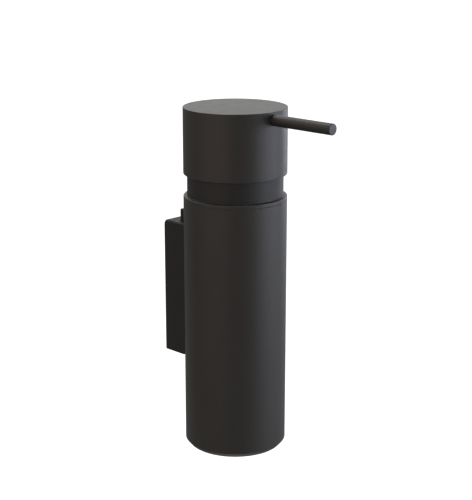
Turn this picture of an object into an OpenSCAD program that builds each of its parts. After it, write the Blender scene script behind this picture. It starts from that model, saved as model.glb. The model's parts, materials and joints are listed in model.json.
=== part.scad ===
// Wall mounted soap dispenser: a bracket block screwed to the wall, a hanging cylindrical
// vessel with a refill bottle, and a lotion pump under a pressed cylindrical head.
// Millimetres. The wall is the plane Y = 0 and the object stands off it towards -Y.
// The origin is the centre of the bracket's wall face. +Z is up.

/* [Vessel] */
// Outside diameter of the vessel and of the head
body_d = 50; // [49.6:0.1:50.4]
// Height of the vessel's tube
tube_h = 124.8; // [123:0.1:128]
// Thickness of the vessel's tube
tube_wall = 1.6; // [1.5:0.1:1.7]
// Height of the bevel round the vessel's base
base_bevel_h = 2.2; // [1.8:0.1:2.4]
// Width of the bevel round the vessel's base
base_bevel_w = 1.9; // [1.6:0.1:2]
// Thickness of the disc that closes the base
disc_t = 1.6; // [1:0.1:2]

/* [Head] */
// Height of the head
head_h = 32; // [31:0.5:33]
// Thickness of the head's pressed shell
head_wall = 0.9; // [0.8:0.1:1.2]
// Diameter of the neck ring seen under the head
neck_d = 46.6; // [46:0.1:46.8]
// Thickness of the flange that covers the tube's rim
flange_t = 2; // [1.5:0.1:2.5]
// Small bevel on turned edges
edge_break = 0.4; // [0.2:0.1:0.5]

/* [Spout] */
// Outside diameter of the spout
spout_d = 5.4; // [4.8:0.1:5.4]
// Bore of the spout
spout_bore_d = 3.2; // [2.6:0.1:3.4]
// Distance from the vessel's axis to the spout's tip
spout_reach = 60.5; // [50:0.5:80]
// Depth of the spout's axis below the top of the head
spout_drop = 3.8; // [3.7:0.05:4.4]

/* [Bracket] */
// Width of the bracket block
bracket_w = 19; // [18:0.5:22]
// Height of the bracket block
bracket_h = 68.5; // [66:0.5:72]
// Depth of the bracket block from the wall
bracket_t = 14; // [13.8:0.1:14.4]
// Distance from the wall to the vessel's axis
axis_reach = 40.5; // [40.5:0.5:44]
// Height of the bracket's centre above the vessel's base
body_drop = 74.8; // [72:0.1:78]
// Distance between the two wall screw holes
screw_spacing = 40; // [34:1:44]
// Diameter of the wall screw holes
screw_hole_d = 4.5; // [4:0.1:5]

/* [Hanger rail] */
// Width of the rail's flat back
rail_w = 11.8; // [10:0.2:12]
// Thickness of the rail's flat back
rail_t = 3; // [2.5:0.1:3]
// Distance from the wall to the back of the rail
rail_stand = 7.8; // [7.8:0.1:8.2]
// Width of the web that joins the rail to the vessel
web_w = 6; // [5.5:0.5:7]
// Height of the rail's top above the bracket block
rail_rise = 6.2; // [4:0.1:10]
// Length of rail held in the slot
rail_engaged = 58; // [50:1:58]

/* [Pump] */
// Travel of the head when it is pressed
stroke = 10; // [8:0.5:10]
// Gap left under the head when it is fully pressed
pressed_gap = 0.6; // [0.5:0.05:2]
// Bore of the pump chamber
chamber_bore_d = 11.2; // [11:0.1:11.4]
// Outside diameter of the stem
stem_d = 7; // [6.8:0.1:7]
// Diameter of the two valve balls
ball_d = 4; // [3.9:0.1:4]
// Turns of the return spring
spring_turns = 8; // [6:1:9]
// Wire diameter of the return spring
wire_d = 0.9; // [0.7:0.1:0.9]

/* [Hidden] */
$fn = 96;
eps = 0.01;
// How far a cut or a joined piece runs past the face it meets
past = 1;
// Radial gaps: a running fit, and the looser gap of a piece that lifts out
run_gap = 0.05;
slip_gap = 0.3;

// Heights above the vessel's base, from the bottom up
body_r = body_d / 2;
tube_inner_r = body_r - tube_wall;
lip_r = tube_inner_r - 2.4;
disc_top = base_bevel_h + disc_t;
pad_t = 1;
bottle_z = disc_top + pad_t;
flange_z = tube_h;
flange_top = flange_z + flange_t;
head_z = flange_top + stroke + pressed_gap;
head_top = head_z + head_h;
spout_z = head_top - spout_drop;

// Neck collar, closure and bottle, which are stacked under the head
neck_r = neck_d / 2;
collar_bore_r = neck_r - 1.6;
collar_low = flange_z - 7;
collar_top = head_z + 4.5;
bottle_r = 21.2;
bottle_wall = 1.2;
bottle_bevel = 1.5;
shoulder_z = tube_h - 15;
neck_base_z = shoulder_z + 2;
bottle_neck_r = 17;
bottle_neck_bore_r = 15.4;
bottle_top = tube_h - 1;
gasket_t = 1.5;
gasket_top = bottle_top + gasket_t;
chamber_flange_t = 2;
closure_web_z = gasket_top + chamber_flange_t;
closure_top = closure_web_z + 2.5;
closure_low = neck_base_z + 0.5;
closure_r = collar_bore_r - run_gap;
closure_hole_r = 9;
guide_flange_r = closure_hole_r - 0.2;
chamber_flange_r = bottle_neck_r - 0.5;
gasket_bore_r = 8;

// Pump, from the inlet up
chamber_r = chamber_bore_d / 2;
chamber_wall = 1.4;
cage_z = 81.4;
cage_t = 1;
seat_low = cage_z - 5.4;
seat_top = seat_low + 2.5;
seat_low_r = 1.3;
seat_top_r = 3;
socket_low = seat_low - 14;
socket_top = seat_low - 4;
socket_r = 4.6;
shoulder_h = 3;
dip_r = 3;
dip_bore_r = 2.2;
dip_low = bottle_z + bottle_wall + 2;
piston_z = 112;
piston_h = 8;
lip_h = 1.6;
lip_taper = 0.8;
guide_low = 121.5;
guide_flange_z = closure_top;
guide_top = guide_flange_z + 2;
stem_r = stem_d / 2;
stem_bore_r = 1.5;
stem_low = piston_z - 2;
stem_foot_r = chamber_r - 0.8;
stem_top = head_top - 11.7;
ball_r = ball_d / 2;
outlet_seat_low = stem_top - 5.3;
outlet_seat_top = outlet_seat_low + 2;
outlet_room_r = 2.6;
spring_r = 4.2;
spring_low = cage_z + cage_t;
vent_r = 0.5;
port_at = 2.1;
port_r = 0.7;

// Head core: a puck under the top of the head, with a hub that takes the stem
cap_inner_r = body_r - head_wall;
cap_inner_top = head_top - head_wall;
puck_h = 7;
puck_low = cap_inner_top - puck_h;
hub_r = 6;
hub_low = head_z + 8.5;
core_web = 1.4;
core_rim = 1.8;
core_inset = 1;
rib_w = 9;
thin_rib_w = 2;
spout_r = spout_d / 2;
spout_bore_r = spout_bore_d / 2;
spout_root = 7;
riser_r = 1.3;
outlet_inset = 4;
outlet_r = 1.1;
tip_wall = 2;
seal_t = 1;
boss_at = 16;
boss_r = 3.2;
boss_low = puck_low - 4;
set_screw_r = 1.25;
set_hex_r = 0.75;
set_hex_h = 1.3;

// Bracket: the wall plate has bevelled ends that the block hooks over
plate_w = 13;
plate_t = 3;
plate_h = 56;
plate_bevel = 2;
countersink = 2;
fit_gap = 0.2;
cavity_t = 6.4;
cavity_low = -bracket_h / 2 + 3;
grub_r = 1.5;
grub_y = -2.4;
grub_hole_h = 4;
grub_sunk = 0.4;
grub_hex_r = 0.87;
grub_hex_h = 1.5;
slot_gap = 0.3;
top_rear_round = 1.3;
top_front_round = 1;
low_round = 0.8;
rail_low = bracket_h / 2 - rail_engaged;
rail_high = bracket_h / 2 + rail_rise;
rail_screw_z = [rail_low + 8, rail_high - 10];
screw_r = 1.5;
screw_head_r = 2.75;
screw_head_t = 1.3;
screw_lift = 0.2;
screw_hex_r = 1.15;
screw_hex_h = 0.8;
screw_tip = 1.2;

// ---- Shared shapes ----

// Places its children on the vessel's axis, with heights counted from the vessel's base.
module on_axis() {
    translate([0, -axis_reach, -body_drop]) children();
}

// A hollow cylinder between two heights.
module tube(low, high, bore_r, outer_r) {
    translate([0, 0, low]) difference() {
        cylinder(r = outer_r, h = high - low);
        translate([0, 0, -eps]) cylinder(r = bore_r, h = high - low + 2 * eps);
    }
}

// A solid disc or rod between two heights.
module rod(low, high, r) {
    translate([0, 0, low]) cylinder(r = r, h = high - low);
}

// A hole or cone between two heights, a little longer than its wall at both ends.
module bore(low, high, low_r, high_r) {
    translate([0, 0, low - eps]) cylinder(r1 = low_r, r2 = high_r, h = high - low + 2 * eps);
}

// A cylinder along -Y from one distance to another.
module along_y(near, far, r) {
    translate([0, -near, 0]) rotate([90, 0, 0]) cylinder(r = r, h = far - near);
}

// A hexagon socket cut upwards into the low face of a screw that starts at height 0.
module hex_socket(r, depth) {
    translate([0, 0, -eps]) cylinder(r = r, h = depth + eps, $fn = 6);
}

// Cuts one corner of an outline to an arc. side_x and side_y say which corner it is.
module corner_cut(x, y, side_x, side_y, r) {
    translate([x - side_x * r, y - side_y * r]) difference() {
        translate([side_x > 0 ? 0 : -r - eps, side_y > 0 ? 0 : -r - eps]) square(r + eps);
        circle(r = r);
    }
}

// ---- Bracket on the wall ----

// The block's outline seen from the side, with the wall at x = 0.
module block_outline() {
    half = bracket_h / 2;
    difference() {
        translate([-bracket_t, -half]) square([bracket_t, bracket_h]);
        corner_cut(0, half, 1, 1, top_rear_round);
        corner_cut(-bracket_t, half, -1, 1, top_front_round);
        corner_cut(0, -half, 1, -1, low_round);
        corner_cut(-bracket_t, -half, -1, -1, low_round);
    }
}

// Extrudes an outline drawn in Y and Z to a width along X.
module sideways(width) {
    translate([-width / 2, 0, 0]) rotate([90, 0, 90]) linear_extrude(width) children();
}

module wall_plate() {
    half = plate_h / 2;
    color("silver") difference() {
        sideways(plate_w) polygon([
            [0, half - plate_bevel], [-plate_t, half], [-plate_t, -half], [0, -half + plate_bevel]
        ]);
        for (side = [-1, 1]) translate([0, 0, side * screw_spacing / 2]) {
            translate([0, eps, 0]) along_y(0, plate_t + 2 * eps, screw_hole_d / 2);
            translate([0, -plate_t - eps, 0]) rotate([-90, 0, 0])
                cylinder(r1 = screw_hole_d / 2 + countersink, r2 = screw_hole_d / 2, h = countersink);
        }
    }
}

module bracket_block() {
    cavity_top = plate_h / 2 + fit_gap;
    pocket_t = rail_t + 2 * slot_gap;
    color("#262626") difference() {
        sideways(bracket_w) block_outline();
        sideways(plate_w + 2 * fit_gap) polygon([
            [eps, cavity_top - plate_bevel], [0, cavity_top - plate_bevel],
            [-plate_t - fit_gap, cavity_top], [-cavity_t, cavity_top],
            [-cavity_t, cavity_low], [eps, cavity_low]
        ]);
        translate([-rail_w / 2 - slot_gap, -rail_stand + slot_gap - pocket_t, rail_low])
            cube([rail_w + 2 * slot_gap, pocket_t, rail_engaged + past]);
        translate([-web_w / 2 - slot_gap, -bracket_t - past, rail_low])
            cube([web_w + 2 * slot_gap, bracket_t - rail_stand - rail_t + past, rail_engaged + past]);
        translate([0, grub_y, -bracket_h / 2 - eps]) cylinder(r = grub_r + run_gap, h = grub_hole_h);
    }
}

module bracket_grub_screw() {
    low = -bracket_h / 2 + grub_sunk;
    high = -plate_h / 2 - run_gap;
    color("dimgray") translate([0, grub_y, low]) difference() {
        cylinder(r = grub_r, h = high - low);
        hex_socket(grub_hex_r, grub_hex_h);
    }
}

// ---- Vessel ----

module outer_tube() {
    color("#262626") on_axis() difference() {
        rotate_extrude() polygon([
            [lip_r, 0], [body_r - base_bevel_w, 0], [body_r, base_bevel_h],
            [body_r, tube_h - edge_break], [body_r - edge_break, tube_h],
            [tube_inner_r, tube_h], [tube_inner_r, base_bevel_h], [lip_r, base_bevel_h]
        ]);
        for (z = rail_screw_z) translate([0, 0, z + body_drop])
            rotate([0, 0, 180]) along_y(lip_r, body_d, screw_r + run_gap);
    }
}

module base_disc() {
    color("#262626") on_axis() rod(base_bevel_h, disc_top, tube_inner_r - run_gap);
}

module base_pad() {
    color("#444444") on_axis() rod(disc_top, bottle_z, bottle_r - bottle_bevel);
}

module hanger_rail() {
    back = -rail_stand;
    tube_back = axis_reach - body_r;
    color("#1a1a1a") difference() {
        union() {
            translate([-rail_w / 2, back - rail_t, rail_low])
                cube([rail_w, rail_t, rail_high - rail_low]);
            translate([-web_w / 2, -tube_back - past, rail_low])
                cube([web_w, tube_back + past - rail_stand - rail_t, rail_high - rail_low]);
        }
        on_axis() rod(0, tube_h, body_r);
        for (z = rail_screw_z) translate([0, 0, z])
            along_y(rail_stand + past, axis_reach, screw_r + run_gap);
    }
}

// Two pan head screws that hold the rail from inside the tube.
module rail_screws() {
    head_seat = axis_reach - tube_inner_r;
    color("silver") for (z = rail_screw_z) translate([0, 0, z]) difference() {
        union() {
            along_y(rail_stand + screw_tip, head_seat + screw_lift + eps, screw_r);
            along_y(head_seat + screw_lift, head_seat + screw_lift + screw_head_t, screw_head_r);
        }
        translate([0, -head_seat - screw_lift - screw_head_t, 0]) rotate([-90, 0, 0])
            hex_socket(screw_hex_r, screw_hex_h);
    }
}

// ---- Refill bottle ----

module bottle() {
    inner_r = bottle_r - bottle_wall;
    color("whitesmoke") on_axis() rotate_extrude() polygon([
        [0, bottle_z], [bottle_r - bottle_bevel, bottle_z], [bottle_r, bottle_z + bottle_bevel],
        [bottle_r, shoulder_z], [bottle_neck_r, neck_base_z], [bottle_neck_r, bottle_top],
        [bottle_neck_bore_r, bottle_top], [bottle_neck_bore_r, neck_base_z - bottle_wall],
        [inner_r, shoulder_z - 1], [inner_r, bottle_z + bottle_wall + 1],
        [inner_r - 1, bottle_z + bottle_wall], [0, bottle_z + bottle_wall]
    ]);
}

// ---- Pump and its collar ----

// The neck ring, with the flange that covers the tube's rim and a spigot inside the tube.
module neck_collar() {
    spigot_r = tube_inner_r - slip_gap;
    color("#1f1f1f") on_axis() rotate_extrude() polygon([
        [collar_bore_r, collar_low], [spigot_r - edge_break, collar_low],
        [spigot_r, collar_low + edge_break], [spigot_r, flange_z],
        [body_r - edge_break, flange_z], [body_r, flange_z + edge_break],
        [body_r, flange_top - edge_break], [body_r - edge_break, flange_top],
        [neck_r, flange_top], [neck_r, collar_top - edge_break],
        [neck_r - edge_break, collar_top], [collar_bore_r, collar_top]
    ]);
}

// The threaded cap inside the collar, which clamps the pump on the bottle's neck.
module closure_nut() {
    color("#303030") on_axis() difference() {
        rod(closure_low, closure_top, closure_r);
        bore(closure_low, closure_web_z, bottle_neck_r + slip_gap, bottle_neck_r + slip_gap);
        bore(closure_web_z, closure_top, closure_hole_r, closure_hole_r);
    }
}

module gasket() {
    color("#222222") on_axis() tube(bottle_top, gasket_top, gasket_bore_r, bottle_neck_r);
}

module pump_chamber() {
    outer_r = chamber_r + chamber_wall;
    color("gainsboro") on_axis() difference() {
        union() {
            rod(socket_low, cage_z - shoulder_h, socket_r);
            translate([0, 0, cage_z - shoulder_h])
                cylinder(r1 = socket_r, r2 = outer_r, h = shoulder_h);
            rod(cage_z, gasket_top, outer_r);
            rod(gasket_top, closure_web_z, chamber_flange_r);
            rod(closure_web_z, guide_flange_z, guide_flange_r);
        }
        bore(socket_low, socket_top, dip_r + run_gap, dip_r + run_gap);
        bore(socket_top, seat_low, seat_low_r, seat_low_r);
        bore(seat_low, seat_top, seat_low_r, seat_top_r);
        bore(seat_top, cage_z, seat_top_r, seat_top_r);
        bore(cage_z, guide_flange_z, chamber_r, chamber_r);
        // Air vent above the piston's stroke
        translate([0, 0, guide_low - 1]) rotate([0, 90, 0]) cylinder(r = vent_r, h = closure_hole_r);
    }
}

module dip_tube() {
    color("white") on_axis() tube(dip_low, socket_top, dip_bore_r, dip_r);
}

// Keeps the inlet ball near its seat, with three ports round the middle one.
module ball_cage() {
    color("white") on_axis() difference() {
        rod(cage_z, cage_z + cage_t, chamber_r - run_gap);
        bore(cage_z, cage_z + cage_t, port_r, port_r);
        for (turn = [0, 120, 240]) rotate([0, 0, turn]) translate([port_at, 0, 0])
            bore(cage_z, cage_z + cage_t, port_r, port_r);
    }
}

// Height of a ball's centre above the low edge of a conical seat.
function seated(low_r, high_r, h) =
    let (half_angle = atan((high_r - low_r) / h))
    ball_r / sin(half_angle) - low_r / tan(half_angle) + run_gap;

module inlet_ball() {
    lift = seated(seat_low_r, seat_top_r, seat_top - seat_low);
    color("silver") on_axis() translate([0, 0, seat_low + lift]) sphere(r = ball_r);
}

// Height of the spring's wire after a number of turns: closed turns at both ends.
function wire_z(turn, low, high) =
    let (closed = wire_d + 0.1, open_low = low + closed, open_high = high - closed)
    turn < 1 ? low + closed * turn
    : turn > spring_turns - 1 ? high - closed * (spring_turns - turn)
    : open_low + (open_high - open_low) * (turn - 1) / (spring_turns - 2);

module pump_spring() {
    sides = 8;
    steps = 20;
    rings = spring_turns * steps;
    low = spring_low + wire_d / 2;
    high = stem_low - wire_d / 2;
    points = [for (i = [0:rings], j = [0:sides - 1])
        let (angle = 360 * i / steps, side = 360 * j / sides,
             r = spring_r + wire_d / 2 * cos(side))
        [r * cos(angle), r * sin(angle), wire_z(i / steps, low, high) + wire_d / 2 * sin(side)]];
    walls = [for (i = [0:rings - 1], j = [0:sides - 1])
        let (next = (j + 1) % sides)
        [i * sides + j, (i + 1) * sides + j, (i + 1) * sides + next, i * sides + next]];
    start = [for (j = [0:sides - 1]) j];
    finish = [for (j = [sides - 1:-1:0]) rings * sides + j];
    color("silver") on_axis() polyhedron(points, concat([start], walls, [finish]));
}

// Guides the stem, and closes the top of the chamber.
module stem_guide() {
    color("#303030") on_axis() difference() {
        union() {
            rod(guide_low, guide_flange_z, chamber_r - run_gap);
            rod(guide_flange_z, guide_top, guide_flange_r);
        }
        bore(guide_low, guide_top, stem_r + run_gap, stem_r + run_gap);
    }
}

// ---- Moving stem ----

module pump_stem() {
    color("gainsboro") on_axis() difference() {
        union() {
            rod(stem_low, piston_z, stem_foot_r);
            rod(piston_z, stem_top, stem_r);
        }
        bore(stem_low, outlet_seat_low, stem_bore_r, stem_bore_r);
        bore(outlet_seat_low, outlet_seat_top, stem_bore_r, outlet_room_r);
        bore(outlet_seat_top, stem_top, outlet_room_r, outlet_room_r);
    }
}

// A cup shaped seal with a lip at each end that runs in the chamber.
module piston() {
    lip = chamber_r - run_gap;
    waist = chamber_r - 0.6;
    top = piston_z + piston_h;
    color("white") on_axis() rotate_extrude() polygon([
        [stem_r + run_gap, piston_z], [lip, piston_z], [lip, piston_z + lip_h],
        [waist, piston_z + lip_h + lip_taper], [waist, top - lip_h - lip_taper],
        [lip, top - lip_h], [lip, top], [stem_r + run_gap, top]
    ]);
}

module outlet_ball() {
    lift = seated(stem_bore_r, outlet_room_r, outlet_seat_top - outlet_seat_low);
    color("silver") on_axis() translate([0, 0, outlet_seat_low + lift]) sphere(r = ball_r);
}

// ---- Head ----

module head_cap() {
    color("#262626") on_axis() difference() {
        rotate_extrude() polygon([
            [0, cap_inner_top], [cap_inner_r, cap_inner_top], [cap_inner_r, head_z],
            [body_r - edge_break, head_z], [body_r, head_z + edge_break],
            [body_r, head_top - edge_break], [body_r - edge_break, head_top], [0, head_top]
        ]);
        translate([0, 0, spout_z]) along_y(hub_r, body_d, spout_r + run_gap);
    }
}

// A moulded puck bonded under the head's top, hollowed between its ribs.
module head_core() {
    rib_reach = cap_inner_r - core_inset;
    color("#303030") on_axis() difference() {
        union() {
            tube(puck_low, cap_inner_top, cap_inner_r - core_rim, cap_inner_r - run_gap);
            rod(cap_inner_top - core_web, cap_inner_top, rib_reach);
            rod(hub_low, cap_inner_top, hub_r);
            translate([-rib_w / 2, -rib_reach, puck_low]) cube([rib_w, rib_reach, puck_h]);
            for (turn = [-90, 0, 90]) rotate([0, 0, turn])
                translate([-thin_rib_w / 2, 0, puck_low]) cube([thin_rib_w, rib_reach, puck_h]);
            translate([0, -boss_at, 0]) rod(boss_low, spout_z, boss_r);
        }
        bore(hub_low, stem_top + run_gap, stem_r + run_gap, stem_r + run_gap);
        bore(stem_top, spout_z, riser_r, riser_r);
        translate([0, 0, spout_z]) {
            along_y(0, spout_root, spout_bore_r);
            along_y(spout_root - seal_t, body_r, spout_r + run_gap);
        }
        translate([0, -boss_at, 0])
            bore(boss_low, spout_z, set_screw_r + run_gap, set_screw_r + run_gap);
    }
}

// A straight rod, bored from its root, that lets the soap out underneath near its closed tip.
module spout() {
    color("#262626") on_axis() translate([0, 0, spout_z]) difference() {
        union() {
            along_y(spout_root, spout_reach - edge_break, spout_r);
            translate([0, -spout_reach + edge_break, 0]) rotate([90, 0, 0])
                cylinder(r1 = spout_r, r2 = spout_r - edge_break, h = edge_break);
        }
        along_y(spout_root - eps, spout_reach - tip_wall, spout_bore_r);
        translate([0, -spout_reach + outlet_inset, -spout_d]) cylinder(r = outlet_r, h = spout_d);
    }
}

// A flat ring that the spout's root presses on.
module spout_seal() {
    color("#222222") on_axis() translate([0, 0, spout_z]) difference() {
        along_y(spout_root - seal_t, spout_root, spout_r);
        along_y(spout_root - seal_t - eps, spout_root + eps, spout_bore_r);
    }
}

// Holds the spout in the core from below.
module spout_grub_screw() {
    low = boss_low + grub_sunk;
    high = spout_z - spout_r - run_gap;
    color("dimgray") on_axis() translate([0, -boss_at, low]) difference() {
        cylinder(r = set_screw_r, h = high - low);
        hex_socket(set_hex_r, set_hex_h);
    }
}

wall_plate();
bracket_block();
bracket_grub_screw();
outer_tube();
base_disc();
base_pad();
hanger_rail();
rail_screws();
bottle();
neck_collar();
closure_nut();
gasket();
pump_chamber();
stem_guide();
ball_cage();
inlet_ball();
pump_spring();
dip_tube();
pump_stem();
piston();
outlet_ball();
head_cap();
head_core();
spout();
spout_seal();
spout_grub_screw();
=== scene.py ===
import json
import math

import bmesh
import bpy
import numpy as np
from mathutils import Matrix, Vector


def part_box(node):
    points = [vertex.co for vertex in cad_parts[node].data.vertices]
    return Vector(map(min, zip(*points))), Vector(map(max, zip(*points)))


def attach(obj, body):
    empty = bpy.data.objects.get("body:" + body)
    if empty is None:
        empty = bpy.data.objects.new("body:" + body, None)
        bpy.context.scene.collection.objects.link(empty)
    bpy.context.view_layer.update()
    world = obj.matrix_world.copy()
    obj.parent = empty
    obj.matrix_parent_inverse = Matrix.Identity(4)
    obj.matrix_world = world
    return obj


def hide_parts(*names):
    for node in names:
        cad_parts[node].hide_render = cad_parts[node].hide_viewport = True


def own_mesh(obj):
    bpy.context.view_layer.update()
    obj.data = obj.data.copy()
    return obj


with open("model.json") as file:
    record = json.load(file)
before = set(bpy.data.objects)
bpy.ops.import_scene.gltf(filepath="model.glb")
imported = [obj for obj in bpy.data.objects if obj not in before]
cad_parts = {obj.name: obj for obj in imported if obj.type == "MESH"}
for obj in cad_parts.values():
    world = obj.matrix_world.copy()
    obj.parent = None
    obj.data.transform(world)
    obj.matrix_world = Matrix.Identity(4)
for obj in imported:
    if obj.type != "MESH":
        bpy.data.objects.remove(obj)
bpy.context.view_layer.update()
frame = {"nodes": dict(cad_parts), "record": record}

MM = 0.001

# ---- Places, read from the frame. Heights are millimetres above the vessel's base ----

tube_low, tube_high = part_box("outer_tube")
AXIS_Y = (tube_low.y + tube_high.y) / 2
BASE_Z = tube_low.z
BODY_R = (tube_high.x - tube_low.x) / 2 / MM


def span(node):
    """Lowest and highest height of a CAD node, in millimetres above the vessel's base."""
    low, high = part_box(node)
    return (low.z - BASE_Z) / MM, (high.z - BASE_Z) / MM


def on_axis(x, y, height):
    """The point of the frame at x, y millimetres from the vessel's axis and at a height."""
    return Vector((x * MM, AXIS_Y + y * MM, BASE_Z + height * MM))


# ---- Mesh helpers ----

ARC_STEP = math.radians(15)
NEARLY_STRAIGHT = math.radians(89)
TINY = 1e-6
SHARP_ANGLE = 35.0
FACE_AREA_WEIGHT = 80
TURNED_STEPS = 192


def rounded(corners):
    """Turns corners (r, z, rounding) into points (r, z, is_edge): a rounded corner becomes an arc."""
    points = []
    count = len(corners)
    for i, (r, z, fillet) in enumerate(corners):
        here = Vector((r, z))
        before = Vector(corners[i - 1][:2])
        after = Vector(corners[(i + 1) % count][:2])
        inward, outward = (before - here), (after - here)
        if fillet <= 0 or inward.length < TINY or outward.length < TINY:
            points.append((r, z, 0.0))
            continue
        inward.normalize()
        outward.normalize()
        half = inward.angle(outward) / 2
        if half > NEARLY_STRAIGHT:
            points.append((r, z, 0.0))
            continue
        tangent = fillet / math.tan(half)
        centre = here + (inward + outward).normalized() * (fillet / math.sin(half))
        start = here + inward * tangent
        end = here + outward * tangent
        sweep = math.pi - 2 * half
        steps = max(2, math.ceil(sweep / ARC_STEP))
        a, b = start - centre, end - centre
        for k in range(steps + 1):
            t = k / steps
            mix = (a * math.sin((1 - t) * sweep) + b * math.sin(t * sweep)) / math.sin(sweep)
            points.append((centre.x + mix.x, centre.y + mix.y, 1.0 if k < steps else 0.0))
    return points


def finish_mesh(obj, sharp=SHARP_ANGLE):
    """Smooth faces, sharp creases and area weighted normals."""
    mesh = obj.data
    mesh.shade_smooth()
    mesh.set_sharp_from_angle(angle=math.radians(sharp))
    weighted = obj.modifiers.new("weighted_normals", "WEIGHTED_NORMAL")
    weighted.keep_sharp = True
    weighted.weight = FACE_AREA_WEIGHT


def link(obj):
    bpy.context.scene.collection.objects.link(obj)
    return obj


def new_object(name, bm, marks=None):
    """Makes a linked object of a bmesh. marks holds each face's share of worn edge, whose lighter
    tone is also a painted edge highlight.
    """
    mesh = bpy.data.meshes.new(name)
    bm.to_mesh(mesh)
    bm.free()
    if marks is not None:
        attribute = mesh.attributes.new("edge", "FLOAT", "FACE")
        attribute.data.foreach_set("value", np.array(marks, np.float32))
    return link(bpy.data.objects.new(name, mesh))


def turned(name, corners, closed=True, steps=None, place=None, ripple=None):
    """A turned piece. corners are (radius, height, rounding) in millimetres, in order round its
    section; the section is a loop, or starts and ends on the axis. place maps millimetres to the
    frame, and ripple changes a radius by its angle and height."""
    steps = steps or TURNED_STEPS
    place = place or on_axis
    points = rounded(corners)
    bm = bmesh.new()
    rings = []
    for r, z, _ in points:
        if r < TINY:
            rings.append([bm.verts.new(place(0, 0, z))])
            continue
        ring = []
        for k in range(steps):
            angle = 2 * math.pi * k / steps
            radius = r + (ripple(angle, r, z) if ripple else 0)
            ring.append(bm.verts.new(place(radius * math.cos(angle), radius * math.sin(angle), z)))
        rings.append(ring)
    marks = []
    last = len(points) if closed else len(points) - 1
    for i in range(last):
        a, b = rings[i], rings[(i + 1) % len(points)]
        if len(a) == 1 and len(b) == 1:
            continue
        for k in range(steps):
            n = (k + 1) % steps
            if len(a) == 1:
                face = (a[0], b[k], b[n])
            elif len(b) == 1:
                face = (a[k], b[0], a[n])
            else:
                face = (a[k], b[k], b[n], a[n])
            bm.faces.new(face)
            marks.append(points[i][2])
    bmesh.ops.recalc_face_normals(bm, faces=bm.faces)
    return new_object(name, bm, marks)


def apply_modifiers(obj):
    graph = bpy.context.evaluated_depsgraph_get()
    mesh = bpy.data.meshes.new_from_object(obj.evaluated_get(graph))
    obj.modifiers.clear()
    obj.data = mesh


def cut(obj, *cutters):
    """Takes the cutters away from obj and removes them."""
    for cutter in cutters:
        boolean = obj.modifiers.new("cut", "BOOLEAN")
        boolean.operation = "DIFFERENCE"
        boolean.solver = "EXACT"
        boolean.object = cutter
    apply_modifiers(obj)
    for cutter in cutters:
        bpy.data.objects.remove(cutter)


CREASE = math.radians(30)


def ease_edges(obj, width, segments=3):
    """Rounds the creases of obj by width millimetres, and marks the new faces as worn edge, which the
    coats paint lighter: wear and a painted edge highlight. The new faces are told apart by a second
    material, which is removed again."""
    mesh = obj.data
    bevel = obj.modifiers.new("ease", "BEVEL")
    bevel.width = width * MM
    bevel.segments = segments
    bevel.limit_method = "ANGLE"
    bevel.angle_limit = CREASE
    bevel.use_clamp_overlap = True
    spare = bpy.data.materials.new("spare")
    while len(mesh.materials) < 2:
        mesh.materials.append(spare)
    bevel.material = 1
    apply_modifiers(obj)
    mesh = obj.data
    marks = np.zeros(len(mesh.polygons), np.int32)
    mesh.polygons.foreach_get("material_index", marks)
    attribute = mesh.attributes.get("edge") or mesh.attributes.new("edge", "FLOAT", "FACE")
    attribute.data.foreach_set("value", (marks == 1).astype(np.float32))
    mesh.polygons.foreach_set("material_index", np.zeros(len(marks), np.int32))
    mesh.materials.clear()
    bpy.data.materials.remove(spare)
    return obj


def loft(name, sections, place):
    """Outlines of (a, b) points joined one to the next. sections lists (outline, height), and place
    maps (a, b, height) to the frame."""
    bm = bmesh.new()
    rings = [[bm.verts.new(place(a, b, height)) for a, b in outline]
             for outline, height in sections]
    bm.faces.new(rings[0])
    bm.faces.new(rings[-1][::-1])
    for low, high in zip(rings, rings[1:]):
        for i in range(len(low)):
            n = (i + 1) % len(low)
            bm.faces.new((low[i], high[i], high[n], low[n]))
    bmesh.ops.recalc_face_normals(bm, faces=bm.faces)
    return new_object(name, bm)


def prism(name, outline, low, high, place):
    """An outline stretched between two heights."""
    return loft(name, [(outline, low), (outline, high)], place)


def mark(obj, name, test):
    """Writes a face attribute: 1 where test(centre, normal) holds, in the frame's millimetres."""
    mesh = obj.data
    values = [float(test(face.center / MM, face.normal)) for face in mesh.polygons]
    attribute = mesh.attributes.get(name) or mesh.attributes.new(name, "FLOAT", "FACE")
    old = np.zeros(len(values), np.float32)
    attribute.data.foreach_get("value", old)
    attribute.data.foreach_set("value", np.maximum(old, np.array(values, np.float32)))


def upright(x, y, z):
    """Millimetres of the frame, for outlines drawn from above and stretched along Z."""
    return Vector((x * MM, y * MM, z * MM))


def side_on(y, z, x):
    """Millimetres of the frame, for outlines drawn from the side and stretched along X."""
    return upright(x, y, z)


# ---- Materials ----


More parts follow.
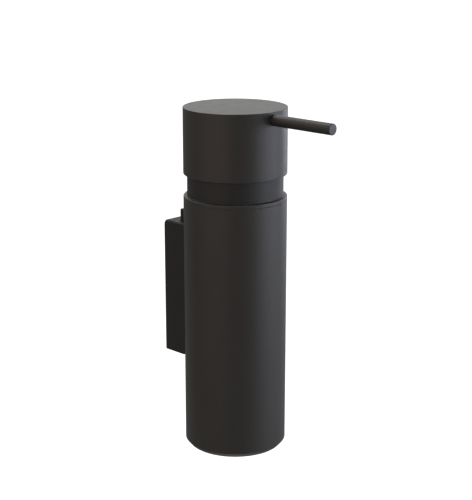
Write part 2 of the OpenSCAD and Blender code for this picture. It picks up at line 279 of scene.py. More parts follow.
class Nodes:
    """A small helper that adds nodes to one material."""

    def __init__(self, name):
        self.material = bpy.data.materials.new(name)
        self.material.use_nodes = True
        self.tree = self.material.node_tree
        self.shader = self.tree.nodes["Principled BSDF"]
        self.coords = self.tree.nodes.new("ShaderNodeTexCoord").outputs["Object"]

    def join(self, source, target):
        self.tree.links.new(source, target)

    def noise(self, size_mm, detail=2.0, stretch=None, rough=0.5):
        """Noise with features of about size_mm. stretch makes them longer along an axis."""
        where = self.coords
        if stretch:
            mapping = self.tree.nodes.new("ShaderNodeMapping")
            mapping.inputs["Scale"].default_value = stretch
            self.join(where, mapping.inputs["Vector"])
            where = mapping.outputs["Vector"]
        node = self.tree.nodes.new("ShaderNodeTexNoise")
        node.inputs["Scale"].default_value = 1 / (size_mm * MM)
        node.inputs["Detail"].default_value = detail
        node.inputs["Roughness"].default_value = rough
        self.join(where, node.inputs["Vector"])
        return node.outputs["Fac"]

    def spread(self, value, low, high, from_low=0.3, from_high=0.7):
        """Maps a noise value to a range."""
        node = self.tree.nodes.new("ShaderNodeMapRange")
        node.inputs["From Min"].default_value = from_low
        node.inputs["From Max"].default_value = from_high
        node.inputs["To Min"].default_value = low
        node.inputs["To Max"].default_value = high
        self.join(value, node.inputs["Value"])
        return node.outputs["Result"]

    def math(self, operation, a, b):
        node = self.tree.nodes.new("ShaderNodeMath")
        node.operation = operation
        for socket, value in zip(node.inputs, (a, b)):
            if isinstance(value, (int, float)):
                socket.default_value = value
            else:
                self.join(value, socket)
        return node.outputs["Value"]

    def mix(self, factor, first, second):
        """Mixes two colours."""
        node = self.tree.nodes.new("ShaderNodeMix")
        node.data_type = "RGBA"
        self.join(factor, node.inputs["Factor"])
        colours = [s for s in node.inputs if s.type == "RGBA"]
        for socket, value in zip(colours, (first, second)):
            if isinstance(value, (tuple, list)):
                socket.default_value = (*value[:3], 1)
            else:
                self.join(value, socket)
        return [s for s in node.outputs if s.type == "RGBA"][0]

    def face_value(self, name):
        """A number stored on the mesh's faces."""
        node = self.tree.nodes.new("ShaderNodeAttribute")
        node.attribute_name = name
        return node.outputs["Fac"]

    def wear_and_highlight(self):
        """How worn an edge is, which also sets a painted highlight along it: the mesh's edge mark,
        broken up by noise.
        """
        patchy = self.spread(self.noise(3.0, detail=3.0), 0.15, 1.0, from_low=0.4, from_high=0.65)
        return self.math("MULTIPLY", self.face_value("edge"), patchy)

    def bump(self, height, strength, distance_mm, under=None):
        node = self.tree.nodes.new("ShaderNodeBump")
        node.inputs["Strength"].default_value = strength
        node.inputs["Distance"].default_value = distance_mm * MM
        self.join(height, node.inputs["Height"])
        if under is not None:
            self.join(under, node.inputs["Normal"])
        return node.outputs["Normal"]

    def done(self, colour, rough, normal):
        self.join(colour, self.shader.inputs["Base Color"])
        self.join(rough, self.shader.inputs["Roughness"])
        self.join(normal, self.shader.inputs["Normal"])
        return self.material


def scaled(colour, factor):
    return tuple(min(1.0, c * factor) for c in colour)


def coat(name, colour, rough, grain_mm=0.3, gloss=0.5, painted_shade=None):
    """Fine matt powder coat on metal: a pebbled grain, faint mottling, and edges rubbed smoother and
    lighter, the lighter tone also a painted edge highlight. The last argument names a face attribute;
    its faces get painted shade, a darker tone, and are rougher."""
    n = Nodes(name)
    n.shader.inputs["Specular IOR Level"].default_value = gloss
    mottle = n.spread(n.noise(14.0, detail=4.0), 0.0, 1.0)
    tone = n.mix(mottle, scaled(colour, 0.94), scaled(colour, 1.06))
    speck = n.spread(n.noise(grain_mm * 1.6, detail=1.0), 0.0, 1.0, from_low=0.55, from_high=0.75)
    tone = n.mix(n.math("MULTIPLY", speck, 0.35), tone, scaled(colour, 1.6))
    wear_and_highlight = n.wear_and_highlight()
    # Worn edges are lighter: rubbed wear and a painted edge highlight.
    tone = n.mix(n.math("MULTIPLY", wear_and_highlight, 0.6), tone, scaled(colour, 2.4))
    roughness = n.spread(n.noise(6.0, detail=3.0), rough - 0.015, rough + 0.015)
    roughness = n.math("SUBTRACT", roughness, n.math("MULTIPLY", wear_and_highlight, 0.08))
    if painted_shade:
        shade_mask = n.face_value(painted_shade)
        # Painted shade: the marked faces are darkened to stand in for the shadow that falls on them.
        tone = n.mix(n.math("MULTIPLY", shade_mask, 0.7), tone, (0, 0, 0))
        roughness = n.math("ADD", roughness, n.math("MULTIPLY", shade_mask, 0.1))
    waves = n.bump(n.noise(2.2, detail=1.0), strength=0.12, distance_mm=0.03)
    grain = n.bump(n.noise(grain_mm, rough=0.6), strength=0.35, distance_mm=0.03, under=waves)
    return n.done(tone, roughness, grain)


def steel(name, colour, rough, stretch, bump=0.1):
    """Steel with fine lines: stretch says along which axis they run."""
    n = Nodes(name)
    n.shader.inputs["Metallic"].default_value = 1.0
    lines = n.noise(0.25, detail=4.0, stretch=stretch, rough=0.7)
    clouds = n.noise(9.0, detail=3.0)
    tone = n.mix(n.spread(clouds, 0.0, 1.0), scaled(colour, 0.88), scaled(colour, 1.08))
    tone = n.mix(n.math("MULTIPLY", n.spread(lines, 0.0, 1.0), 0.4), tone, scaled(colour, 0.7))
    tone = n.mix(n.math("MULTIPLY", n.wear_and_highlight(), 0.6), tone, scaled(colour, 1.3))
    roughness = n.math("ADD", n.spread(lines, -0.05, 0.07),
                       n.spread(clouds, rough - 0.03, rough + 0.03))
    return n.done(tone, roughness, n.bump(lines, strength=bump, distance_mm=0.01))


def plastic(name, colour, rough, variation=0.06, milky=0.0):
    """Moulded plastic: faint flow marks, a spark eroded grain and scuffs. milky is the share of
    light that passes under the surface."""
    n = Nodes(name)
    if milky:
        n.shader.inputs["Subsurface Weight"].default_value = milky
        n.shader.inputs["Subsurface Radius"].default_value = (1.0, 0.9, 0.8)
        n.shader.inputs["Subsurface Scale"].default_value = 1.5 * MM
    flow = n.spread(n.noise(18.0, detail=3.0, stretch=(1, 1, 0.35)), 0.0, 1.0)
    tone = n.mix(flow, scaled(colour, 1 - variation), scaled(colour, 1 + variation))
    scratches = n.noise(1.6, detail=6.0, stretch=(1, 1, 3.0), rough=0.75)
    scuffs = n.spread(scratches, 0.0, 1.0, from_low=0.58, from_high=0.75)
    tone = n.mix(n.math("MULTIPLY", scuffs, 0.25), tone, scaled(colour, 0.82))
    roughness = n.math("ADD", n.spread(n.noise(5.0, detail=3.0), rough - 0.04, rough + 0.04),
                       n.math("MULTIPLY", scuffs, 0.1))
    waves = n.bump(n.noise(4.0, detail=1.0), strength=0.1, distance_mm=0.05)
    grain = n.bump(n.noise(0.5), strength=0.2, distance_mm=0.02, under=waves)
    return n.done(tone, roughness, grain)


def rubber(name, colour, rough):
    """Rubber with a dusty bloom and a fine pebbled skin."""
    n = Nodes(name)
    bloom = n.spread(n.noise(7.0, detail=5.0), 0.0, 1.0)
    tone = n.mix(bloom, scaled(colour, 0.8), scaled(colour, 1.5))
    roughness = n.spread(n.noise(2.0, detail=3.0), rough - 0.06, rough + 0.06)
    pebble_mm = 0.45
    cell = n.tree.nodes.new("ShaderNodeTexVoronoi")
    cell.inputs["Scale"].default_value = 1 / (pebble_mm * MM)
    n.join(n.coords, cell.inputs["Vector"])
    pebbles = n.bump(cell.outputs["Distance"], strength=0.25, distance_mm=0.03)
    return n.done(tone, roughness, pebbles)


# The imported CAD's own materials are dropped: their names are those of the slots.
for imported in list(bpy.data.materials):
    bpy.data.materials.remove(imported)

ROUND_GRAIN, UPRIGHT_LINES, FAINT_LINES = (1, 1, 1), (1, 1, 0.02), (1, 1, 0.2)
BLACK = (0.0205, 0.0192, 0.0180)
MATERIALS = {
    "vessel_coat": coat("vessel_coat", BLACK, 0.46),
    "head_coat": coat("head_coat", BLACK, 0.46),
    "collar_coat": coat("collar_coat", BLACK, 0.46, grain_mm=0.25, painted_shade="ring"),
    "spout_coat": coat("spout_coat", BLACK, 0.42, grain_mm=0.2),
    "bracket_coat": coat("bracket_coat", scaled(BLACK, 0.8), 0.56, gloss=0.3),
    "rail_coat": coat("rail_coat", scaled(BLACK, 0.5), 0.50, grain_mm=0.25, gloss=0.35),
    "base_coat": coat("base_coat", BLACK, 0.46),
    "bare_steel": steel("bare_steel", (0.50, 0.50, 0.49), 0.34, UPRIGHT_LINES),
    "screw_steel": steel("screw_steel", (0.20, 0.20, 0.205), 0.36, FAINT_LINES),
    "ball_steel": steel("ball_steel", (0.62, 0.62, 0.63), 0.16, ROUND_GRAIN, bump=0.03),
    "pad_rubber": rubber("pad_rubber", (0.035, 0.035, 0.034), 0.75),
    "seal_rubber": rubber("seal_rubber", (0.018, 0.018, 0.018), 0.6),
    "bottle_plastic": plastic("bottle_plastic", (0.78, 0.79, 0.77), 0.3, variation=0.03,
                              milky=0.35),
    "dark_plastic": plastic("dark_plastic", (0.022, 0.022, 0.022), 0.45),
    "pale_plastic": plastic("pale_plastic", (0.70, 0.70, 0.67), 0.38, variation=0.04,
                            milky=0.2),
}

slot_of = {row["node"]: row["material_slot"] for row in frame["record"]["subparts"]}
bodies = frame["record"]["behaviour"]["bodies"]
body_of = {node: body for body, nodes in bodies.items() for node in nodes}


def stand_for(obj, node, sharp=SHARP_ANGLE):
    """Makes obj a finished piece that replaces a CAD node on the same body."""
    obj.data.materials.clear()
    obj.data.materials.append(MATERIALS[slot_of[node]])
    finish_mesh(obj, sharp)
    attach(obj, body_of[node])
    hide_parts(node)
    return obj


# ---- Vessel ----

TUBE_BORE_R = 23.4
LIP_R = 21.0
BEVEL_W = 1.9
tube_foot, tube_top = span("outer_tube")
disc_low, disc_high = span("base_disc")
stand_for(turned("vessel_tube", [
    (LIP_R, tube_foot, 0.25), (BODY_R - BEVEL_W, tube_foot, 0.3), (BODY_R, disc_low, 0.3),
    (BODY_R, tube_top, 0.2), (TUBE_BORE_R, tube_top, 0.2),
    (TUBE_BORE_R, disc_low, 0.15), (LIP_R, disc_low, 0.25),
]), "outer_tube")

# The base's underside has a shallow round dimple in its middle.
DISC_R = TUBE_BORE_R - 0.05
DIMPLE_R, DIMPLE_FLARE, DIMPLE_DEPTH = 9.0, 0.4, 0.25
stand_for(turned("vessel_base", [
    (0, disc_low + DIMPLE_DEPTH, 0), (DIMPLE_R, disc_low + DIMPLE_DEPTH, 0.2),
    (DIMPLE_R + DIMPLE_FLARE, disc_low, 0.2), (DISC_R, disc_low, 0.1), (DISC_R, disc_high, 0.15),
    (0, disc_high, 0),
], closed=False), "base_disc")

# The rail is a T seen from above: a flat back, and a web that ends on the tube's round wall.
rail_box_low, rail_box_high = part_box("hanger_rail")
RAIL_HALF_W = rail_box_high.x / MM
RAIL_BACK = rail_box_high.y / MM
RAIL_T = 3.0
WEB_HALF_W = 3.0
WEB_STEPS = 8
rail_low_z, rail_high_z = rail_box_low.z / MM, rail_box_high.z / MM


def tube_wall(x):
    """Where the tube's outside lies at x millimetres from its axis."""
    return AXIS_Y / MM + math.sqrt(BODY_R ** 2 - x ** 2)


web_x = [WEB_HALF_W * (1 - 2 * k / WEB_STEPS) for k in range(WEB_STEPS + 1)]
web_end = [(x, tube_wall(x)) for x in web_x]
rail_front = RAIL_BACK - RAIL_T
rail = prism("hanger_rail_piece", [
    (-RAIL_HALF_W, RAIL_BACK), (RAIL_HALF_W, RAIL_BACK), (RAIL_HALF_W, rail_front),
    (WEB_HALF_W, rail_front), *web_end, (-WEB_HALF_W, rail_front), (-RAIL_HALF_W, rail_front),
], rail_low_z, rail_high_z, upright)
stand_for(ease_edges(rail, 0.35), "hanger_rail")

# ---- Bracket ----

block_low, block_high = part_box("bracket_block")
BLOCK_W = (block_high.x - block_low.x) / MM
BLOCK_T = -block_low.y / MM
BLOCK_HALF_H = block_high.z / MM
plate_low, plate_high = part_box("wall_plate")
PLATE_W = (plate_high.x - plate_low.x) / MM
PLATE_T = -plate_low.y / MM
PLATE_HALF_H = plate_high.z / MM
FIT = 0.2
SLOT_GAP = 0.3
PAST = 1.0  # how far a cutter reaches past the face that it opens
PLATE_BEVEL = 2.0
CAVITY_T = 6.4
CAVITY_LOW = -BLOCK_HALF_H + 3.0
TOP_BACK_ROUND, TOP_FRONT_ROUND, BOTTOM_ROUND = 1.3, 1.0, 0.8
TOP_ROUND = 1.0
CORNER_STEPS = 8


def arc(y, z, side_y, side_z, radius):
    """Points round one corner of an outline in Y and Z."""
    centre_y, centre_z = y - side_y * radius, z - side_z * radius
    points = []
    for k in range(CORNER_STEPS + 1):
        angle = math.pi / 2 * k / CORNER_STEPS
        points.append((centre_y + side_y * radius * math.cos(angle),
                       centre_z + side_z * radius * math.sin(angle)))
    return points


def block_outline(top):
    """The block seen from the side, with its top at a height."""
    return (
        arc(0, top, 1, 1, TOP_BACK_ROUND)
        + arc(-BLOCK_T, top, -1, 1, TOP_FRONT_ROUND)[::-1]
        + arc(-BLOCK_T, -BLOCK_HALF_H, -1, -1, BOTTOM_ROUND)
        + arc(0, -BLOCK_HALF_H, 1, -1, BOTTOM_ROUND)[::-1]
    )


# The edges between the top and the two sides are rounded by TOP_ROUND.
rounding = []
for k in range(CORNER_STEPS + 1):
    angle = math.pi / 2 * k / CORNER_STEPS
    rounding.append((block_outline(BLOCK_HALF_H - TOP_ROUND * (1 - math.cos(angle))),
                     BLOCK_W / 2 - TOP_ROUND * (1 - math.sin(angle))))
block = loft("bracket_block_piece",
             [(outline, -x) for outline, x in rounding[::-1]] + rounding, side_on)

cavity_top = PLATE_HALF_H + FIT
cavity_half_w = PLATE_W / 2 + FIT
cavity = prism("cavity", [
    (PAST, cavity_top - PLATE_BEVEL), (0, cavity_top - PLATE_BEVEL), (-PLATE_T - FIT, cavity_top),
    (-CAVITY_T, cavity_top), (-CAVITY_T, CAVITY_LOW), (PAST, CAVITY_LOW),
], -cavity_half_w, cavity_half_w, side_on)
pocket_w, pocket_back = RAIL_HALF_W + SLOT_GAP, RAIL_BACK + SLOT_GAP
pocket_front = rail_front - SLOT_GAP
slot_w = WEB_HALF_W + SLOT_GAP
front = -BLOCK_T - PAST
slot = prism("slot", [
    (-pocket_w, pocket_back), (pocket_w, pocket_back), (pocket_w, pocket_front),
    (slot_w, pocket_front), (slot_w, front), (-slot_w, front),
    (-slot_w, pocket_front), (-pocket_w, pocket_front),
], rail_low_z, BLOCK_HALF_H + PAST, upright)
GRUB_Y = -2.4
GRUB_HOLE_R = 1.55
GRUB_HOLE_DEPTH = 4.0


def grub_drill(x, y, z):
    """A drill along Z at the grub screw's place, in millimetres of the frame."""
    return upright(x, GRUB_Y + y, z)


grub_low, grub_high = -BLOCK_HALF_H - PAST, -BLOCK_HALF_H + GRUB_HOLE_DEPTH
grub_hole = turned("grub_hole", [
    (0, grub_low, 0), (GRUB_HOLE_R, grub_low, 0), (GRUB_HOLE_R, grub_high, 0), (0, grub_high, 0),
], closed=False, steps=32, place=grub_drill)
cut(block, cavity, slot, grub_hole)
ease_edges(block, 0.3)


def on_top_rounding(centre, normal):
    """Whether a face of the block lies on the rounded edges of its top."""
    return centre.z > BLOCK_HALF_H - TOP_ROUND and 0.1 < normal.z < 0.98


# The rounded top edges of the block get the worn-edge tone too: rubbed lighter, which also paints a
# highlight along them.
mark(block, "edge", on_top_rounding)
stand_for(block, "bracket_block")

plate = prism("wall_plate_piece", [
    (0, PLATE_HALF_H - PLATE_BEVEL), (-PLATE_T, PLATE_HALF_H), (-PLATE_T, -PLATE_HALF_H),
    (0, -PLATE_HALF_H + PLATE_BEVEL),
], -PLATE_W / 2, PLATE_W / 2, side_on)
HOLE_R = 2.25
HOLE_AT = 20.0
SINK_DEPTH = 2.0
SINK_PAST = 0.2


def wall_drill(side):
    """Places a drill along Y at the upper or the lower hole: heights run out from the wall."""
    return lambda x, y, z: upright(x, -z, y + side * HOLE_AT)


drills = [
    turned("drill", [
        (0, -PAST, 0), (HOLE_R, -PAST, 0), (HOLE_R, PLATE_T - SINK_DEPTH, 0),
        (HOLE_R + SINK_DEPTH + SINK_PAST, PLATE_T + SINK_PAST, 0), (0, PLATE_T + SINK_PAST, 0),
    ], closed=False, steps=64, place=wall_drill(side))
    for side in (-1, 1)
]
cut(plate, *drills)
stand_for(ease_edges(plate, 0.2, segments=2), "wall_plate")

# ---- Refill bottle ----

bottle_low, bottle_high = span("bottle")
BOTTLE_R = (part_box("bottle")[1].x) / MM
WALL = 1.0
SHOULDER = tube_top - 15
SHOULDER_RISE = 2.0
NECK_R = 16.3
NECK_BORE_R = 15.4
FOOT_RING_R, PUSH_UP_R, PUSH_UP = 16.5, 14.5, 0.7
# The gasket rests on the bottle's mouth, and a small gap keeps the two faces apart.
MOUTH = bottle_high - 0.02
bottle = turned("refill_bottle", [
    (0, bottle_low + PUSH_UP, 0), (PUSH_UP_R, bottle_low + PUSH_UP, 1.5),
    (FOOT_RING_R, bottle_low, 1.0), (BOTTLE_R, bottle_low, 1.8), (BOTTLE_R, SHOULDER, 1.6),
    (NECK_R, SHOULDER + SHOULDER_RISE, 0.6), (NECK_R, MOUTH, 0.3), (NECK_BORE_R, MOUTH, 0.25),
    (NECK_BORE_R, SHOULDER + 0.8, 0.6), (BOTTLE_R - WALL, SHOULDER - 1, 1.0),
    (BOTTLE_R - WALL, bottle_low + WALL + 0.6, 1.5), (0, bottle_low + WALL + 0.8, 0),
], closed=False)


SMALLEST_END = 0.02


def helix(name, radius, height_at, turns, section, per_turn, taper=0.0):
    """A closed bar swept along a helix round the vessel's axis. height_at gives its height after a
    number of turns, and section lists (out, up) points. taper is the share of its length over which
    the bar shrinks to nearly nothing at each end."""
    bm = bmesh.new()
    count = int(turns * per_turn)
    rings = []
    for i in range(count + 1):
        t = i / count
        size = min(1.0, t / taper, (1 - t) / taper) if taper else 1.0
        size = max(size, SMALLEST_END)
        angle = 2 * math.pi * turns * t
        z = height_at(turns * t)
        ring = []
        for out, up in section:
            r = radius + out * size
            x, y = r * math.cos(angle), r * math.sin(angle)
            ring.append(bm.verts.new(on_axis(x, y, z + up * size)))
        rings.append(ring)
    sides = len(section)
    for a, b in zip(rings, rings[1:]):
        for k in range(sides):
            n = (k + 1) % sides
            bm.faces.new((a[k], b[k], b[n], a[n]))
    bm.faces.new(rings[0][::-1])
    bm.faces.new(rings[-1])
    bmesh.ops.recalc_face_normals(bm, faces=bm.faces)
    return new_object(name, bm)


def join(target, *others):
    """Adds the meshes of others to target's mesh, and removes them."""
    bm = bmesh.new()
    bm.from_mesh(target.data)
    for other in others:
        bm.from_mesh(other.data)
    bm.to_mesh(target.data)
    bm.free()
    for other in others:
        bpy.data.objects.remove(other)
    return target


THREAD_DEPTH = 0.65
THREAD_ROOT = -0.2
THREAD_LOW, THREAD_RISE, THREAD_TURNS = SHOULDER + 4.6, 7.0, 2.2
ridge = [
    (THREAD_ROOT, -0.9), (THREAD_DEPTH * 0.6, -0.55), (THREAD_DEPTH, -0.25),
    (THREAD_DEPTH, 0.25), (THREAD_DEPTH * 0.6, 0.55), (THREAD_ROOT, 0.9),
]
thread = helix("thread", NECK_R, lambda turn: THREAD_LOW + THREAD_RISE * turn / THREAD_TURNS,
               THREAD_TURNS, ridge, per_turn=96, taper=0.06)
stand_for(join(bottle, thread), "bottle", sharp=40)

# ---- Pump and collar ----

collar_low, collar_high = span("neck_collar")
NECK_RING_R = 23.2
COLLAR_BORE_R = NECK_RING_R - 1.6
SPIGOT_R = TUBE_BORE_R - 0.3
FLANGE_T = 2.0
flange_high = tube_top + FLANGE_T
collar = turned("neck_collar_piece", [
    (COLLAR_BORE_R, collar_low, 0.25), (SPIGOT_R, collar_low, 0.5), (SPIGOT_R, tube_top, 0.08),
    (BODY_R, tube_top, 0.2), (BODY_R, flange_high, 0.5), (NECK_RING_R, flange_high, 0.4),
    (NECK_RING_R, collar_high, 0.4), (COLLAR_BORE_R, collar_high, 0.25),
])
# The ring that stands above the flange gets painted shade: a darker tone for the shadow that the head
# above casts on it, and a rougher finish.
ring_foot = on_axis(0, 0, flange_high).z / MM + 0.05
mark(collar, "ring", lambda centre, normal: centre.z > ring_foot)
stand_for(collar, "neck_collar")

nut_low, nut_high = span("closure_nut")
NUT_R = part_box("closure_nut")[1].x / MM
NUT_BORE_R, NUT_MOUTH_R = 17.3, 9.0
gasket_high = span("gasket")[1]
PUMP_FLANGE_T = 2.0
web_low = gasket_high + PUMP_FLANGE_T
RIBS = 60
RIB_DEPTH = 0.4
RIB_END = 0.2


def grip(angle, r, z):
    """Vertical grip ribs round the nut's skirt, below the collar."""
    if r < NUT_R - 1 or z > collar_low - RIB_END or z < nut_low + RIB_END:
        return 0
    return -RIB_DEPTH * (0.5 + 0.5 * math.cos(angle * RIBS))


stand_for(turned("closure_nut_piece", [
    (NUT_BORE_R, nut_low, 0.3), (NUT_R, nut_low, 0.4), (NUT_R, nut_low + 0.9, 0),
    (NUT_R, nut_low + 1.2, 0), (NUT_R, collar_low - 0.6, 0), (NUT_R, collar_low - 0.15, 0),
    (NUT_R, nut_high, 0.4), (NUT_MOUTH_R, nut_high, 0.2), (NUT_MOUTH_R, web_low, 0.2),
    (NUT_BORE_R, web_low, 0.3),
], steps=TURNED_STEPS * 2, ripple=grip), "closure_nut", sharp=50)

chamber_low, chamber_high = span("pump_chamber")
dip_low, dip_high = span("dip_tube")
cage_low = span("ball_cage")[0]
CHAMBER_R = 7.0
CHAMBER_BORE_R = 5.6
CHAMBER_TOP_R = 8.8
PUMP_FLANGE_R = 16.5
SOCKET_R = 4.6
DIP_HOLE_R = 3.05
INLET_R = 1.3
BALL_ROOM_R = 3.0
seat_low = dip_high + 4
seat_high = seat_low + 2.5
# A groove runs round the dip tube's socket, and a bead round the chamber.
GROOVE = 0.4
groove_low, groove_high = dip_high - 4.4, dip_high - 2.2
BEAD = 0.8
bead_low, bead_high = gasket_high - 9, gasket_high - 7.2
stand_for(turned("pump_chamber_piece", [
    (DIP_HOLE_R, chamber_low, 0.25), (SOCKET_R, chamber_low, 0.5),
    (SOCKET_R, groove_low, 0.3), (SOCKET_R - GROOVE, groove_low + GROOVE, 0.3),
    (SOCKET_R - GROOVE, groove_high - GROOVE, 0.3), (SOCKET_R, groove_high, 0.3),
    (SOCKET_R, cage_low - 3, 1.0), (CHAMBER_R, cage_low, 1.2),
    (CHAMBER_R, bead_low, 0.2), (CHAMBER_R + BEAD, bead_low + BEAD / 2, 0.3),
    (CHAMBER_R + BEAD, bead_high - BEAD / 2, 0.3), (CHAMBER_R, bead_high, 0.2),
    (CHAMBER_R, gasket_high, 0.5), (PUMP_FLANGE_R, gasket_high, 0.4),
    (PUMP_FLANGE_R, web_low, 0.3), (CHAMBER_TOP_R, web_low, 0.2),
    (CHAMBER_TOP_R, chamber_high, 0.3), (CHAMBER_BORE_R, chamber_high, 0.2),
    (CHAMBER_BORE_R, cage_low, 0.1), (BALL_ROOM_R, cage_low, 0.1), (BALL_ROOM_R, seat_high, 0.1),
    (INLET_R, seat_low, 0.1), (INLET_R, dip_high, 0.1), (DIP_HOLE_R, dip_high, 0.1),
], steps=TURNED_STEPS // 2), "pump_chamber")

SLANT = 1.6
DIP_END = 4.0
DIP_R, DIP_BORE_R = 3.0, 2.2


def slanted(x, y, z):
    """The dip tube's foot is cut at a slant, so that it can't seal against the bottle."""
    lift = (x / DIP_R + 1) / 2 * SLANT if z < dip_low + 1 else 0
    return on_axis(x, y, z + lift)


stand_for(turned("dip_tube_piece", [
    (DIP_BORE_R, dip_low, 0.1), (DIP_R, dip_low, 0.15), (DIP_R, dip_low + DIP_END, 0),
    (DIP_R, dip_high, 0.2), (DIP_BORE_R, dip_high, 0.1), (DIP_BORE_R, dip_low + DIP_END, 0),
], steps=64, place=slanted), "dip_tube")

spring_low, spring_high = span("pump_spring")
WIRE_R = 0.45
WIRE_SIDES = 10
SPRING_R = 4.2
SPRING_TURNS = 8
CLOSED = 2 * WIRE_R + 0.05


def wire_height(turn):
    """Height of the wire after a number of turns: one closed turn at each end."""
    start, end = spring_low + WIRE_R, spring_high - WIRE_R
    if turn < 1:
        return start + CLOSED * turn
    if turn > SPRING_TURNS - 1:
        return end - CLOSED * (SPRING_TURNS - turn)
    return start + CLOSED + (end - start - 2 * CLOSED) * (turn - 1) / (SPRING_TURNS - 2)


wire_angles = [2 * math.pi * k / WIRE_SIDES for k in range(WIRE_SIDES)]
wire = [(WIRE_R * math.cos(a), WIRE_R * math.sin(a)) for a in wire_angles]
spring = helix("return_spring", SPRING_R, wire_height, SPRING_TURNS, wire, per_turn=40)
spring.data.materials.append(MATERIALS["ball_steel"])
spring.data.shade_smooth()
spring.data.set_sharp_from_angle(angle=math.radians(50))
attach(spring, "pump")
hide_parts("pump_spring")
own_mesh(spring)

# ---- Head ----

cap_low, cap_high = span("head_cap")
CAP_WALL = 0.9
CAP_BORE_R = BODY_R - CAP_WALL
ceiling = cap_high - CAP_WALL
stand_for(turned("head_shell", [
    (0, ceiling, 0), (CAP_BORE_R, ceiling, 0.6), (CAP_BORE_R, cap_low, 0.25),
    (BODY_R, cap_low, 0.3), (BODY_R, cap_high, 0.2), (0, cap_high, 0),
], closed=False), "head_cap")

spout_box_low, spout_box_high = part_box("spout")
SPOUT_R = spout_box_high.x / MM
SPOUT_BORE_R = 1.6
TIP_WALL, OUTLET_R, OUTLET_AT, OUTLET_SINK = 2.0, 1.1, 4.0, 0.25
spout_near = -(spout_box_high.y - AXIS_Y) / MM
spout_far = -(spout_box_low.y - AXIS_Y) / MM
spout_height = ((spout_box_low.z + spout_box_high.z) / 2 - BASE_Z) / MM


def along_spout(x, y, z):
    """Turned pieces whose axis is the spout's: heights run outwards from the vessel's axis."""
    return on_axis(x, -z, spout_height + y)


spout = turned("spout_tube", [
    (0, spout_far - TIP_WALL, 0), (SPOUT_BORE_R, spout_far - TIP_WALL, 0.2),
    (SPOUT_BORE_R, spout_near, 0.1), (SPOUT_R, spout_near, 0.15), (SPOUT_R, spout_far - 6.5, 0),
    (SPOUT_R, spout_far, 0.3), (0, spout_far, 0),
], closed=False, steps=96, place=along_spout)
underside = spout_height - SPOUT_R
outlet = turned("outlet", [
    (0, underside - 1, 0), (OUTLET_R + 1, underside - 1, 0),
    (OUTLET_R, underside + OUTLET_SINK, 0), (OUTLET_R, spout_height, 0), (0, spout_height, 0),
], closed=False, steps=48, place=lambda x, y, z: on_axis(x, y - (spout_far - OUTLET_AT), z))
cut(spout, outlet)
stand_for(spout, "spout")

# ---- CAD nodes that are shown as they are ----

for node, obj in frame["nodes"].items():
    if obj.hide_render:
        continue
    obj.data.materials.clear()
    obj.data.materials.append(MATERIALS[slot_of[node]])

# ---- Camera ----

AZIMUTH, ELEVATION, DISTANCE = math.radians(-45.61), math.radians(15.24), 0.628
TARGET_HEIGHT = 98.91
AIM_RIGHT = 0.34
SENSOR_W = 36
FOCAL_PIXELS, PICTURE_PIXELS = 1288.4, 500
target = on_axis(0, 0, TARGET_HEIGHT)
camera_data = bpy.data.cameras.new("camera")
camera_data.sensor_width = SENSOR_W
camera_data.lens = FOCAL_PIXELS * SENSOR_W / PICTURE_PIXELS
camera_data.clip_start = 0.01
camera_data.clip_end = 100
camera_data.dof.use_dof = False
camera = link(bpy.data.objects.new("camera", camera_data))


def direction(azimuth, elevation):
    """Unit vector from the target: azimuth 0 looks at the dispenser's front, square to the wall."""
    return Vector((math.sin(azimuth) * math.cos(elevation),
                   -math.cos(azimuth) * math.cos(elevation), math.sin(elevation)))


camera.location = target + direction(AZIMUTH, ELEVATION) * DISTANCE
aim = target + Vector((math.cos(AZIMUTH), math.sin(AZIMUTH), 0)) * AIM_RIGHT * MM
camera.rotation_euler = (aim - camera.location).to_track_quat("-Z", "Y").to_euler()
bpy.context.scene.camera = camera

# ---- Floor, world and lights ----

FLOOR_DROP = 0.3
FLOOR_HALF_SIDE = 30
FLOOR_GREY = (0.4, 0.4, 0.4, 1)
WHITE = (1, 1, 1, 1)
bm = bmesh.new()
bmesh.ops.create_grid(bm, x_segments=1, y_segments=1, size=FLOOR_HALF_SIDE)
floor = new_object("floor", bm)
floor.location.z = BASE_Z - FLOOR_DROP
floor_nodes = Nodes("pale_floor")
floor_nodes.shader.inputs["Base Color"].default_value = FLOOR_GREY
floor_nodes.shader.inputs["Roughness"].default_value = 0.9
floor_nodes.shader.inputs["Specular IOR Level"].default_value = 0.0
floor_nodes.shader.inputs["Emission Color"].default_value = WHITE
# To the camera the floor is white, and to the light that it sends back it is grey.
light_path = floor_nodes.tree.nodes.new("ShaderNodeLightPath")
floor_nodes.join(light_path.outputs["Is Camera Ray"],
                 floor_nodes.shader.inputs["Emission Strength"])
# Seen from below, the floor is clear.
side = floor_nodes.tree.nodes.new("ShaderNodeNewGeometry")
clear = floor_nodes.tree.nodes.new("ShaderNodeBsdfTransparent")
either = floor_nodes.tree.nodes.new("ShaderNodeMixShader")
floor_nodes.join(side.outputs["Backfacing"], either.inputs[0])
floor_nodes.join(floor_nodes.shader.outputs[0], either.inputs[1])
floor_nodes.join(clear.outputs[0], either.inputs[2])
floor_nodes.join(either.outputs[0], floor_nodes.tree.nodes["Material Output"].inputs["Surface"])
floor.data.materials.append(floor_nodes.material)

world = bpy.data.worlds.new("studio")
bpy.context.scene.world = world
world.use_nodes = True
nodes, links = world.node_tree.nodes, world.node_tree.links
nodes["Background"].inputs["Color"].default_value = (1.0, 0.984, 0.909, 1)
nodes["Background"].inputs["Strength"].default_value = 0.494
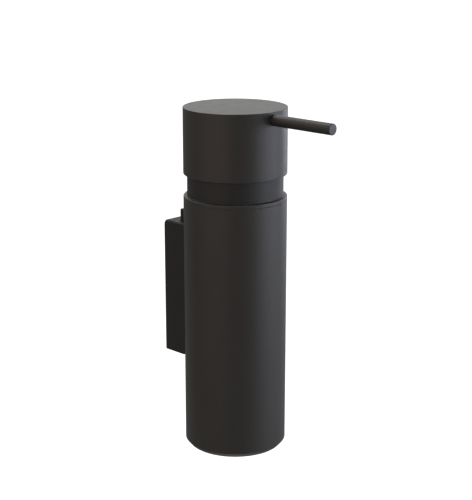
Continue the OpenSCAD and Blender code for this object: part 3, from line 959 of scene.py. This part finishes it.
# The camera sees a white backdrop in place of the soft light of the room.
backdrop = nodes.new("ShaderNodeBackground")
backdrop.inputs["Color"].default_value = WHITE
pick = nodes.new("ShaderNodeMixShader")
links.new(nodes.new("ShaderNodeLightPath").outputs["Is Camera Ray"], pick.inputs[0])
links.new(nodes["Background"].outputs[0], pick.inputs[1])
links.new(backdrop.outputs[0], pick.inputs[2])
links.new(pick.outputs[0], nodes["World Output"].inputs["Surface"])


def softbox(name, turn, height_angle, distance, width, height, power, colour):
    """An area light that faces the object, turned by some degrees from the camera's azimuth."""
    towards = direction(AZIMUTH + math.radians(turn), math.radians(height_angle))
    data = bpy.data.lights.new(name, "AREA")
    data.shape = "RECTANGLE"
    data.size, data.size_y = width, height
    data.energy = power
    data.color = colour
    light = link(bpy.data.objects.new(name, data))
    light.location = target + towards * distance
    light.rotation_euler = (-towards).to_track_quat("-Z", "Y").to_euler()
    light.visible_camera = False


WARM, COOL = (1.0, 0.705, 0.663), (0.834, 0.867, 1.0)
SOFT_WARM, PLAIN = (1.0, 0.971, 0.929), (0.945, 0.964, 1.0)
FAR, NEAR = 1.6, 0.6
UNDER_DISTANCE = TARGET_HEIGHT * MM + 0.15
# Name, turn and height in degrees, distance, width and height in metres, watts, colour
SOFTBOXES = (
    ("left_middle", -30, 0, FAR, 0.6, 0.6, 1.601, WARM),
    ("left_far", -60, 0, FAR, 0.6, 0.6, 1.344, WARM),
    ("right_near", 60, 0, FAR, 0.5, 0.6, 3.136, COOL),
    ("right_middle", 80, 0, FAR, 0.5, 0.6, 4.94, COOL),
    ("right_far", 100, 0, FAR, 0.5, 0.6, 4.447, COOL),
    ("right_behind", 140, 0, FAR, 0.5, 0.6, 4.325, COOL),
    ("edge_left", -100, 35, NEAR, 0.3, 0.2, 0.139, SOFT_WARM),
    ("high_left", -140, 60, NEAR, 0.3, 0.2, 0.594, SOFT_WARM),
    ("behind", 180, 25, NEAR, 0.4, 0.2, 0.351, PLAIN),
    ("under", 0, -90, UNDER_DISTANCE, 0.12, 0.12, 0.025, SOFT_WARM),
)
for row in SOFTBOXES:
    softbox(*row)

view_settings = bpy.context.scene.view_settings
view_settings.view_transform = "Standard"
view_settings.look = "None"
